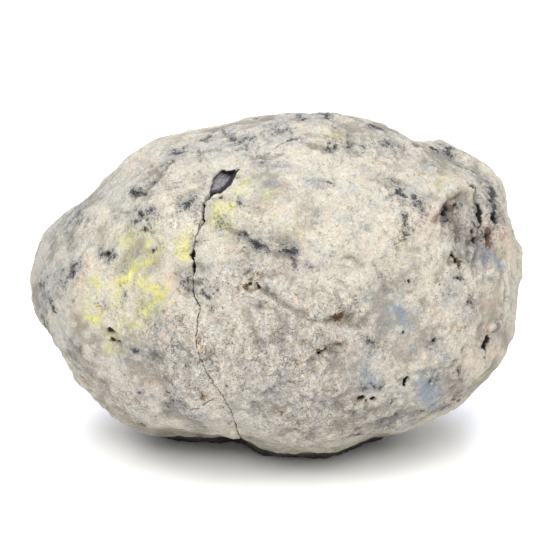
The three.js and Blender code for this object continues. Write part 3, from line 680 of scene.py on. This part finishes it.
def undercut(points):
    """The points with the low front drawn in, so that it climbs from where it meets the ground."""
    right, back, height = points[:, 0], points[:, 1], points[:, 2] - GROUND
    contact = np.array(CONTACT)
    ahead = np.interp(right, contact[:, 0], contact[:, 1]) - back
    climb = CLIMB * np.maximum(ahead, 0)
    rise = np.clip(climb - height, 0, MOST_RISE) * smoothstep(*RISE_STARTS, ahead)
    sink = np.clip(height - climb, 0, MOST_SINK) * smoothstep(*SINK_REACH, np.abs(ahead))
    sink *= smoothstep(*SINK_HEIGHTS, height)
    lift = (rise - sink) * smoothstep(*LEFT_FADE, right) * smoothstep(*RIGHT_FADE, right)
    return points + lift[:, None] * np.array([0, 0, 1])


def fine_places(surface):
    """The cracks and the pits where they lie: (line, values) and (centre, radius, depth)."""
    lines = [line_on(surface, stops) for stops in CRACKS.values()]
    pits = [(surface.place(right, up), radius, depth) for right, up, radius, depth in PITS]
    return lines, pits


def edge_limit_near(lines, pits):
    """A function that gives the longest edge for each of some points."""

    def edge_limit(points):
        places, front = across(points)
        plain = FRONT_EDGE + (BACK_EDGE - FRONT_EDGE) * smoothstep(3, -4, front)
        limit = plain.copy()
        for line, values in lines:
            near = close_to(points, line, FINE_REACH)
            distance, found = nearest_on_line(points[near], line, values)
            fine = CRACK_EDGE + EDGE_GROWTH * np.maximum(0, distance - found[:, 0] - CRACK_MARGIN)
            limit[near] = np.minimum(limit[near], fine)
        for centre, radius, _ in pits:
            outside = np.maximum(0, lengths(points - centre) - radius)
            limit = np.minimum(limit, PIT_EDGE + EDGE_GROWTH * outside)
        from_wall = np.maximum(0, np.abs(depth_in_outline(places, MOUTH)) - MOUTH_WALL)
        fine = np.where(front > 0, MOUTH_EDGE + EDGE_GROWTH * from_wall, plain)
        return np.minimum(limit, fine)

    return edge_limit


def pit_depth(points, pits):
    """How deep the pits go at each point, and how far inside a pit it is, from 0 to 1."""
    depths = np.zeros(len(points))
    inside = np.zeros(len(points))
    for number, (centre, radius, depth) in enumerate(pits):
        near = np.flatnonzero(close_to(points, centre[None], 1.5 * radius))
        ragged = 0.35 * radius * noise(points[near], 0.8 * radius, number)
        share = 1 - smoothstep(0.45, 1.0, (lengths(points[near] - centre) + ragged) / radius)
        depths[near] = np.maximum(depths[near], depth * share)
        inside[near] = np.maximum(inside[near], share * min(1, depth / radius))
    return depths, inside


def crack_depth(points, lines):
    """How deep the cracks go at each point, and how far inside a crack it is, from 0 to 1."""
    depths = np.zeros(len(points))
    inside = np.zeros(len(points))
    for line, values in lines:
        near = np.flatnonzero(close_to(points, line, FINE_REACH))
        distance, found = nearest_on_line(points[near], line, values)
        half_width, depth = found.T
        ragged = distance + 0.4 * half_width * noise(points[near], 0.45, 5)
        share = 1 - smoothstep(0.65 * half_width, 1.1 * half_width, ragged)
        depths[near] = np.maximum(depths[near], depth * share)
        darkness = 0.7 + 0.3 * smoothstep(0.08, 0.3, half_width)
        inside[near] = np.maximum(inside[near], share * darkness)
    return depths, inside * (0.9 + 0.35 * noise(points, 1.5, 8))


def stroke_shares(points, line, radius):
    """Which points are near a line, and how close each is: 1 on it, fading past the radius."""
    near = np.flatnonzero(close_to(points, line, 2.2 * radius))
    distance, _ = nearest_on_line(points[near], line, line)
    return near, np.exp(-((distance / radius) ** 2))


def laid(surface, stops):
    """A stroke's stops on the surface, one stop counting twice."""
    ends = stops if len(stops) > 1 else 2 * stops
    return np.array([surface.place(right, up) for right, up in ends])


FOLD_GAIN = 1.5


def fold_heights(points, surface):
    """Valleys of the rind's folds, each under a raised lip."""
    moved = nudged(points, 0.35, 1.5, 80)
    heights = np.zeros(len(points))
    for half_width, depth, *stops in FOLDS:
        valley = laid(surface, stops)
        near, share = stroke_shares(moved, valley, half_width)
        heights[near] -= FOLD_GAIN * depth * share
        near, share = stroke_shares(moved, valley + 1.5 * half_width * UP, 1.4 * half_width)
        heights[near] += 0.6 * FOLD_GAIN * depth * share
    return heights


def stained(points, surface, strokes):
    """How strong a stain is at each point: uneven strokes, each with a faint halo."""
    moved = nudged(nudged(points, 0.7, 2.6, 20), 0.7, 1.1, 24)
    strength_at = np.zeros(len(points))
    for radius, strength, *stops in strokes:
        near, share = stroke_shares(moved, laid(surface, stops), 1.35 * radius)
        strength_at[near] = np.maximum(strength_at[near], strength * share)
        near, share = stroke_shares(moved, laid(surface, stops), 3.2 * radius)
        strength_at[near] = np.maximum(strength_at[near], 0.55 * strength * share)
    return strength_at * (1 + 0.5 * noise(points, 1.2, 28))


def zoned(points, surface, zones):
    """How far each point is in a zone."""
    moved = nudged(points, 2.6, 6.0, 40)
    strength_at = np.zeros(len(points))
    for right, up, radius, strength in zones:
        far = lengths(moved - surface.place(right, up)) / radius
        strength_at = np.maximum(strength_at, strength * np.exp(-far * far))
    return strength_at


def sown_spots(points, surface, count, radii, seed):
    """How strong spots scattered over the back are. Those that fall on the front are left out."""
    draw = np.random.default_rng(seed)
    moved = nudged(nudged(points, 2.4, 3.4, seed), 0.9, 1.3, seed + 60)
    strength_at = np.zeros(len(points))
    for centre in surface.sown(3 * count, seed):
        radius, strength = draw.uniform(*radii), draw.uniform(0.3, 0.95)
        if centre @ FORWARD < BACK_STARTS:
            far = lengths(moved - centre) / radius
            strength_at = np.maximum(strength_at, strength * np.exp(-far * far))
    return strength_at * (1 + 0.5 * noise(points, 1.2, 28))


def tint_layers(points, surface):
    """How strong each stain and each zone of the rind is at each point, by name."""
    layers = {name: stained(points, surface, strokes) for name, strokes in STAINS.items()}
    layers |= {name: zoned(points, surface, zones) for name, zones in ZONES.items()}
    for name, count, radii, seed in BACK_SPOTS:
        spots = sown_spots(points, surface, count, radii, seed)
        layers[name] = np.maximum(layers[name], spots)
    behind = smoothstep(5, -10, points @ FORWARD)
    for name, strength, size, seed in BACK_ZONES:
        patchy = behind * (strength + 0.5 * noise(points, size, seed))
        layers[name] = np.maximum(layers[name], patchy)
    return layers


def painted_contact_shade(points, faces):
    """How much painted contact shade each point gets from the ground, most of all under the front."""
    downward = smoothstep(-0.2, -0.6, normals_of(points, faces)[:, 2])
    in_front = 0.35 + 0.65 * smoothstep(14, 7, points[:, 1])
    return downward * in_front * smoothstep(4.5, 2.0, points[:, 2] - GROUND)


def sown_pits(surface):
    """Small pits scattered over the whole stone: (centre, radius, depth)."""
    draw = np.random.default_rng(11)
    pits = []
    for centre in surface.sown(SOWN_PITS, 12):
        radius = SOWN_RADIUS[0] + np.ptp(SOWN_RADIUS) * draw.random() ** 2.2
        pits.append((centre, radius, SOWN_DEPTH_SHARE * radius))
    return pits


def mouth_at(points):
    """How far the mouth is open at each point, and how much of it is slate floor and rim painted dark as
    shade.
    """
    places, front = across(points)
    inside = depth_in_outline(nudged_flat(places, points), MOUTH)
    inside = np.where(front > 0, inside, -OUTSIDE)
    gentle = 1 - smoothstep(*SHADED_RIM, places @ SHADE_LEAN)
    opened = smoothstep(0, MOUTH_WALL + MOUTH_SLOPE * gentle, inside)
    floor = smoothstep(-0.2, 0.1 + MOUTH_SLOPE * gentle, inside)
    wall = np.maximum(4 * opened * (1 - opened), 0.55 * np.exp((MOUTH_WALL - inside) / 0.4))
    return opened, floor, np.where(inside > 0, wall * (1 - gentle), 0)


def relief(points, granular, dirty):
    """The rind's own roughness: how far each point stands out, without cracks and pits."""
    bent = nudged(points, 0.9, 3.5, 70)
    swell = 0.45 * noise(points, 12.0, 1) + 0.4 * noise(points, 6.5, 2)
    lumps = 0.7 * billow(bent, 5.2, 3) + 0.6 * billow(bent, 2.7, 4)
    crumbs = 0.3 * billow(bent, 1.5, 6) + 0.14 * noise(points, 0.95, 9)
    grit = 0.3 * billow(points, 1.7, 11) + 0.2 * noise(points, 0.9, 12)
    # soft flow lines that climb to the right over the smoother, chalky rind
    leaning = math.radians(28)
    along = math.cos(leaning) * RIGHT + math.sin(leaning) * UP
    drawn_out = points - 0.75 * (points @ along)[:, None] * along
    flow = 0.42 * billow(drawn_out, 3.4, 14) + 0.2 * noise(drawn_out, 1.4, 15)
    rough = 0.45 + 0.55 * granular + 0.6 * dirty
    return swell + rough * (lumps + crumbs) + granular * grit + (1 - granular) * flow


def make_stone_mesh():
    points, faces = stone_of(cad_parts["geode"])
    points = filled(points, faces, away_from_great_crack(points) < GROOVE_REACH)
    points = undercut(swelled(smoothed(points, faces, 3), faces))
    lines, pits = fine_places(Surface(points, faces))
    points, faces = refined(points, faces, edge_limit_near(lines, pits))
    points = smoothed(points, faces, 3)
    surface = Surface(points, faces)

    layers = tint_layers(points, surface)
    # the "under" layer is painted contact shade, near black on downward faces close to the ground
    layers["under"] = painted_contact_shade(points, faces)
    # the pit, slit and rim layers say where painted shade goes inside the pits, the cracks and the mouth's
    # rim
    pits_in, layers["pit"] = pit_depth(points, pits + sown_pits(surface))
    cracks_in, layers["slit"] = crack_depth(points, lines)
    opened, layers["mouth"], layers["rim"] = mouth_at(points)

    height = relief(points, layers["granular"], layers["dirty"]) + fold_heights(points, surface)
    # painted shade and dust: the low places of the relief and the folds' valleys are darkened
    layers["hollow"] = smoothstep(0.3, -0.7, height)
    height *= 1 - 0.8 * opened
    height -= np.maximum(pits_in, cracks_in)
    floor_relief = 0.7 * noise(points, 1.4, 50) + 0.3 * noise(points, 0.6, 51)
    into_mouth = (opened * (MOUTH_DEPTH + floor_relief))[:, None] * INTO_MOUTH
    points = points + height[:, None] * normals_of(points, faces) + into_mouth
    points[:, 2] = np.maximum(points[:, 2], GROUND)
    return (points + MIDDLE) * MM, faces, layers


def mesh_piece(name, points, faces, layers):
    mesh = bpy.data.meshes.new(name)
    mesh.from_pydata(points.tolist(), [], faces.tolist())
    mesh.shade_smooth()
    for layer, values in layers.items():
        mesh.attributes.new(layer, "FLOAT", "POINT").data.foreach_set("value", values.astype(np.float32))
    piece = bpy.data.objects.new(name, mesh)
    bpy.context.scene.collection.objects.link(piece)
    return piece


# ---- Materials: a small kit for building nodes ----


def linear(name):
    """A colour of the palette in linear light, with its alpha."""
    shares = [value / 255 for value in PALETTE[name]]
    return [s / 12.92 if s <= 0.04045 else ((s + 0.055) / 1.055) ** 2.4 for s in shares] + [1.0]


class Shader:
    """Builds the nodes of one material."""

    def __init__(self, name):
        self.material = bpy.data.materials.new(name)
        self.material.use_nodes = True
        self.tree = self.material.node_tree
        self.surface = self.tree.nodes["Principled BSDF"]
        self.place = self.node("ShaderNodeTexCoord").outputs["Object"]

    def node(self, kind, inputs=(), **settings):
        made = self.tree.nodes.new(kind)
        for key, value in settings.items():
            setattr(made, key, value)
        for key, value in dict(inputs).items():
            if isinstance(value, bpy.types.NodeSocket):
                self.tree.links.new(value, made.inputs[key])
            else:
                made.inputs[key].default_value = value
        return made

    def layer(self, name):
        """A layer of the mesh, such as how stained it is."""
        return self.node("ShaderNodeAttribute", attribute_name=name).outputs["Fac"]

    def grain(self, size, detail=4.0, roughness=0.6, seed=0.0):
        """Noise from 0 to 1 with lumps of that size in millimetres."""
        inputs = {"Vector": self.place, "W": seed, "Scale": 1 / (size * MM)}
        inputs |= {"Detail": detail, "Roughness": roughness}
        return self.node("ShaderNodeTexNoise", inputs, noise_dimensions="4D").outputs["Fac"]

    def bend_places(self, reach, size):
        """Moves every later texture about by noise, so that no grain has a plain outline."""
        inputs = {"Vector": self.place, "Scale": 1 / (size * MM), "Detail": 2.0}
        shift = self.node("ShaderNodeTexNoise", inputs).outputs["Color"]
        centred = self.vector("SUBTRACT", shift, (0.5, 0.5, 0.5))
        far = (2 * reach * MM,) * 3
        self.place = self.vector("ADD", self.place, self.vector("MULTIPLY", centred, far))

    def vector(self, operation, a, b):
        return self.node("ShaderNodeVectorMath", {0: a, 1: b}, operation=operation).outputs[0]

    def crystals(self, size, seed=0.0):
        """Grains of that size in millimetres, each with a value of its own from 0 to 1."""
        inputs = {"Vector": self.place, "W": seed, "Scale": 1 / (size * MM)}
        colour = self.node("ShaderNodeTexVoronoi", inputs, voronoi_dimensions="4D").outputs["Color"]
        return self.node("ShaderNodeSeparateColor", {0: colour}).outputs[0]

    def maths(self, operation, a, b=0.0, c=0.0):
        return self.node("ShaderNodeMath", {0: a, 1: b, 2: c}, operation=operation).outputs[0]

    def ramp(self, value, low, high, top=1.0):
        """0 below low, top above high, and smooth between."""
        inputs = {"Value": value, "From Min": low, "From Max": high, "To Max": top}
        made = self.node("ShaderNodeMapRange", inputs, interpolation_type="SMOOTHSTEP")
        return made.outputs["Result"]

    def centred(self, value, gain):
        """A value from 0 to 1 as one about 0, times a gain."""
        return self.maths("MULTIPLY", self.maths("SUBTRACT", value, 0.5), gain)

    def mix(self, under, over, share, blend="MIX"):
        made = self.node("ShaderNodeMix", data_type="RGBA", blend_type=blend, clamp_factor=True)
        for socket, value in ((made.inputs[0], share), (made.inputs[6], under), (made.inputs[7], over)):
            if isinstance(value, bpy.types.NodeSocket):
                self.tree.links.new(value, socket)
            else:
                socket.default_value = value
        return made.outputs[2]

    def coat(self, under, name, share, blend="MIX"):
        """A colour of the palette over another colour."""
        return self.mix(under, linear(name), share, blend)

    def gravel(self, value, names):
        """A colour of the palette for each value, in even steps."""
        made = self.node("ShaderNodeValToRGB", {0: value})
        stops = made.color_ramp.elements
        for number, name in enumerate(names):
            place = number / (len(names) - 1)
            stop = stops[number] if number < 2 else stops.new(place)
            stop.position = place
            stop.color = linear(name)
        return made.outputs[0]

    def broken(self, layer, textures, low, high, top=1.0):
        """Where a layer is strong, broken up by textures: pairs of a value and its gain."""
        value = layer
        for texture, gain in textures:
            value = self.maths("ADD", value, self.centred(texture, gain))
        return self.ramp(value, low, high, top)


class Rind(Shader):
    """The stone's material, with the layers and grains that several of its coats of colour share."""

    def __init__(self):
        super().__init__("crumbly calcite rind")
        self.bend_places(0.3, 0.9)
        self.granular = self.layer("granular")
        self.dark = self.layer("dark")
        self.dots = self.grain(0.3, 2.0, 0.5, 55.0)
        self.fine = self.grain(0.5, 3.0, 0.7, 51.0)
        self.small = self.grain(1.3, 4.0, 0.7, 53.0)
        self.patches = self.grain(2.6, 6.0, 0.7, 59.0)


def plain_rind(s):
    """The rind's own colour: grey veil, cream and chalk, in patches from 4 mm down to specks."""
    value = s.maths("ADD", s.grain(4.0, 8.0, 0.75), s.centred(s.small, 0.6))
    value = s.maths("MULTIPLY_ADD", value, 2.2, -0.52)
    return s.gravel(value, ["dust_and_shade", "veil", "cream", "cream", "chalk"])


def tinted(s, colour):
    """A colour with grey veils, lilac and peach patches, chalk and dirt."""
    veils = s.grain(3.0, 6.0, 0.7, 13.0)
    veil = s.broken(s.layer("cool"), [(veils, 3.0), (s.fine, 1.0)], -0.2, 1.1, 0.75)
    colour = s.coat(colour, "veil", veil)
    mottled = s.ramp(s.grain(1.6, 5.0, 0.7, 11.0), 0.42, 0.64, 0.65)
    colour = s.coat(colour, "lilac", s.maths("MULTIPLY", mottled, s.granular))
    colour = s.coat(colour, "peach", s.ramp(s.grain(2.4, 5.0, 0.7, 6.0), 0.52, 0.66, 0.45))
    pale = s.ramp(s.grain(0.9, 4.0, 0.7, 12.0), 0.52, 0.68, 0.7)
    colour = s.coat(colour, "chalk", s.maths("MULTIPLY", pale, s.granular))
    dirt = s.broken(s.layer("dirty"), [(s.patches, 3.0), (s.fine, 0.8)], 0.1, 1.1, 0.7)
    return s.coat(colour, "dirt", dirt)


def crevices(s):
    """Where thin crevices between the crumbs are."""
    middle = s.maths("ABSOLUTE", s.centred(s.grain(2.4, 4.0, 0.6, 61.0), 1.0))
    rough = s.broken(s.granular, [(s.patches, 4.0)], 0.0, 1.2, 0.6)
    return s.maths("MULTIPLY", s.ramp(middle, 0.022, 0.0), rough)


def flecks(s):
    """Where clusters of dark flecks are."""
    often = s.maths("MAXIMUM", s.maths("MULTIPLY", s.granular, 0.3), s.maths("MULTIPLY", s.dark, 0.5))
    return s.broken(often, [(s.patches, 1.8), (s.fine, 1.2), (s.dots, 3.0)], 0.54, 0.8, 0.75)


def weathered_and_shaded(s, colour, crevice, fleck):
    """A colour with painted shade and dust in the hollows, darker crevices, each grain lighter or darker, and
    flecks.
    """
    # painted shade, with some dust, in the low places of the relief
    hollow = s.broken(s.layer("hollow"), [(s.fine, 0.8), (s.small, 0.8)], 0.2, 1.0, 0.6)
    colour = s.coat(colour, "dust_and_shade", hollow, "MULTIPLY")
    colour = s.coat(colour, "dirt", crevice)
    tone = s.maths("ADD", s.centred(s.crystals(0.42, 57.0), 0.16), s.centred(s.fine, 0.8))
    tone = s.maths("ADD", tone, s.centred(s.dots, 0.9))
    tone = s.maths("MULTIPLY", tone, s.maths("MULTIPLY_ADD", s.granular, 0.65, 0.5))
    colour = s.mix(colour, (1, 1, 1, 1), s.maths("MAXIMUM", tone, 0.0))
    darker = s.maths("MAXIMUM", s.maths("MULTIPLY", tone, -2.2), 0.0)
    colour = s.coat(colour, "dust_and_shade", darker, "MULTIPLY")
    return s.coat(colour, "speck_and_shade", fleck)


def with_stains(s, colour):
    """A colour with the stains, the faint ones first."""
    ragged = [(s.small, 1.4), (s.fine, 1.0)]
    uneven = [(s.small, 2.4), (s.fine, 1.2)]
    spotted = [(s.dots, 1.4), (s.fine, 0.8), (s.small, 1.6)]
    cloudy = [(s.dots, 1.0), (s.fine, 1.6), (s.small, 2.0)]
    for layer, name, textures, low, high, top in [
        ("peach", "peach", ragged, 0.0, 1.0, 0.7),
        ("lilac", "lilac", ragged, 0.0, 1.0, 0.6),
        ("blue", "blue", ragged, 0.0, 1.0, 0.85),
        ("yellow", "yellow", uneven, 0.05, 1.2, 0.72),
        ("rust", "orange", ragged, 0.25, 1.0, 0.65),
        ("rust", "rust", spotted, 0.5, 0.9, 0.9),
        ("dark", "wash_and_shadow", cloudy, -0.1, 0.9, 0.8),
    ]:
        colour = s.coat(colour, name, s.broken(s.layer(layer), textures, low, high, top))
    # the dark layer's strokes include painted shadows under folds and ledges
    core = s.mix(linear("smudge_and_shadow"), linear("wash_and_shadow"), s.ramp(s.fine, 0.35, 0.65, 0.35))
    colour = s.mix(colour, core, s.broken(s.dark, spotted, 0.5, 0.95, 0.95))
    return s.coat(colour, "moss", s.broken(s.layer("moss"), [(s.fine, 0.8)], 0.4, 0.8))


def with_openings(s, colour):
    """A colour with painted contact shade on the underside, the mouth's slate floor, and painted shade on the
    mouth's rim and inside the pits and the cracks.
    """
    slate = s.mix(linear("slate"), linear("smudge_and_shadow"), s.ramp(s.small, 0.45, 0.75, 0.7))
    slate = s.mix(slate, linear("veil"), s.ramp(s.fine, 0.5, 0.68, 0.6))
    # painted contact shade on the underside
    colour = s.coat(colour, "hole_shade", s.ramp(s.layer("under"), 0.2, 0.9, 0.85))
    colour = s.mix(colour, slate, s.layer("mouth"))
    # painted shade: the mouth's rim and the insides of the pits and cracks are darkened, dark brown at the
    # cracks' edges and near black in their cores
    for layer, name, low, high, top in [
        ("rim", "hole_shade", 0.25, 0.7, 0.9),
        ("pit", "hole_shade", 0.35, 0.9, 0.85),
        ("slit", "speck_and_shade", 0.1, 0.6, 0.8),
        ("slit", "hole_shade", 0.5, 0.78, 0.96),
    ]:
        colour = s.coat(colour, name, s.ramp(s.layer(layer), low, high, top))
    return colour


def stone_material():
    s = Rind()
    crevice, fleck = crevices(s), flecks(s)
    colour = weathered_and_shaded(s, tinted(s, plain_rind(s)), crevice, fleck)
    colour = with_openings(s, with_stains(s, colour))
    grooves = s.maths("MULTIPLY", s.maths("ADD", fleck, crevice), 0.2)
    height = s.maths("ADD", s.maths("MULTIPLY", s.fine, 0.6), s.small)
    height = s.maths("SUBTRACT", height, grooves)
    bump = s.node("ShaderNodeBump", {"Strength": 1.0, "Distance": 0.9 * MM, "Height": height})
    rough = s.maths("ADD", s.ramp(s.grain(1.5, seed=41.0), 0.3, 0.7, 0.1), 0.86)
    s.tree.links.new(bump.outputs["Normal"], s.surface.inputs["Normal"])
    s.tree.links.new(colour, s.surface.inputs["Base Color"])
    s.tree.links.new(rough, s.surface.inputs["Roughness"])
    s.surface.inputs["Specular IOR Level"].default_value = 0.25
    return s.material


# ---- The studio: a pale floor, soft light, and the camera ----

FLOOR_SIZE = 6.0
CAMERA_RISE = math.radians(20)  # above the horizon
CAMERA_LENS = 150.0
CAMERA_FILM = 36.0
VIEW_WIDTH = 0.1016  # how much the camera sees across at the stone
AIM = MIDDLE + 0.54 * RIGHT + 1.87 * UP + 1.19 * FORWARD  # the middle of the view, in millimetres

WORLD_LIGHT = 0.76
LIGHTS = [  # name, place, size and power, with the colour last
    ("softbox overhead", (0.0, 0.15, 1.0), 0.8, 9.9, (0.92, 0.98, 1.16)),
    ("softbox in front", (-0.05, -0.62, 0.62), 0.45, 7.2, (1, 1, 1)),
]


def make_floor():
    half = FLOOR_SIZE / 2
    corners = [(-half, -half, 0), (half, -half, 0), (half, half, 0), (-half, half, 0)]
    mesh = bpy.data.meshes.new("floor")
    mesh.from_pydata(corners, [], [(0, 1, 2, 3)])
    floor = bpy.data.objects.new("floor", mesh)
    bpy.context.scene.collection.objects.link(floor)
    s = Shader("pale floor")
    s.surface.inputs["Base Color"].default_value = (0.95, 0.95, 0.95, 1)
    s.surface.inputs["Roughness"].default_value = 1.0
    s.surface.inputs["Specular IOR Level"].default_value = 0.0
    mesh.materials.append(s.material)


def make_light(name, place, size, power, colour):
    light = bpy.data.lights.new(name, "AREA")
    light.color = colour
    light.size = size
    light.energy = power
    lamp = bpy.data.objects.new(name, light)
    lamp.location = place
    lamp.rotation_euler = (-Vector(place)).to_track_quat("-Z", "Y").to_euler()
    bpy.context.scene.collection.objects.link(lamp)


def make_world(strength):
    world = bpy.data.worlds.new("studio")
    world.use_nodes = True
    background = world.node_tree.nodes["Background"]
    background.inputs["Color"].default_value = (1, 1, 1, 1)
    background.inputs["Strength"].default_value = strength
    bpy.context.scene.world = world


def make_camera():
    camera = bpy.data.objects.new("camera", bpy.data.cameras.new("camera"))
    camera.data.lens = CAMERA_LENS
    camera.data.sensor_width = CAMERA_FILM
    camera.data.clip_start = 0.01
    distance = VIEW_WIDTH * CAMERA_LENS / CAMERA_FILM
    back = Vector((0, -math.cos(CAMERA_RISE), math.sin(CAMERA_RISE)))
    camera.location = Vector(AIM * MM) + distance * back
    camera.rotation_euler = back.to_track_quat("Z", "Y").to_euler()
    bpy.context.scene.collection.objects.link(camera)
    bpy.context.scene.camera = camera


make_camera()
make_floor()
make_world(WORLD_LIGHT)
for light in LIGHTS:
    make_light(*light)
bpy.context.scene.view_settings.view_transform = "Standard"

stone = mesh_piece("crumbly_stone", *make_stone_mesh())
stone.data.materials.append(stone_material())
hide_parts("geode")
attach(stone, "root")
